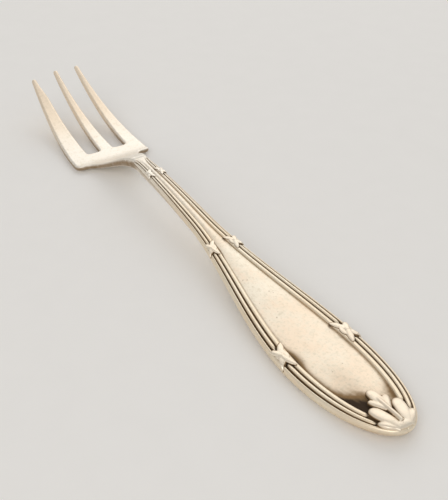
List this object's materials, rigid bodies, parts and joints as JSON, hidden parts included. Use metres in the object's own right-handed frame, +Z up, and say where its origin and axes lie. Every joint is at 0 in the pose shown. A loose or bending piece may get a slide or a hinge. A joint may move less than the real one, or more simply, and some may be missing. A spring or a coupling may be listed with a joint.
{
  "type": "pastry fork",
  "caption": "Pastry fork with three tines, the left one broad for cutting, an arched neck and a pear-shaped handle bordered by ribbon-tied reeds, with an acanthus leaf at its tip.",
  "frame": {"origin": "on the table plane, under the middle of the fork's length and width", "axes": "+X along the fork from the tine tips to the handle tip, +Y to the fork's right side as seen from above with the handle tip towards the viewer, +Z up"},
  "size_m": [0.15, 0.0196, 0.0113],
  "materials": {
    "head_silver": "polished silver plate, worn satin",
    "handle_silver": "polished silver plate with fine scratches and warm tarnish along the border",
    "reed_silver": "polished crests, brown patina in the grooves",
    "mount_silver": "stamped relief with polished crests and dark patina in the hollows"
  },
  "bodies": {
    "root": {"fork_head": "head_silver", "handle": "handle_silver", "left_outer_reed": "reed_silver", "right_outer_reed": "reed_silver", "left_inner_reed": "reed_silver", "right_inner_reed": "reed_silver", "left_middle_reed_neck": "reed_silver", "right_middle_reed_neck": "reed_silver", "left_middle_reed_stem": "reed_silver", "right_middle_reed_stem": "reed_silver", "left_middle_reed_body": "reed_silver", "right_middle_reed_body": "reed_silver", "left_middle_reed_tip": "reed_silver", "right_middle_reed_tip": "reed_silver", "left_ribbon_tie_neck": "mount_silver", "right_ribbon_tie_neck": "mount_silver", "left_ribbon_tie_stem": "mount_silver", "right_ribbon_tie_stem": "mount_silver", "left_ribbon_tie_body": "mount_silver", "right_ribbon_tie_body": "mount_silver", "acanthus_leaf": "mount_silver"}
  },
  "joints": []
}
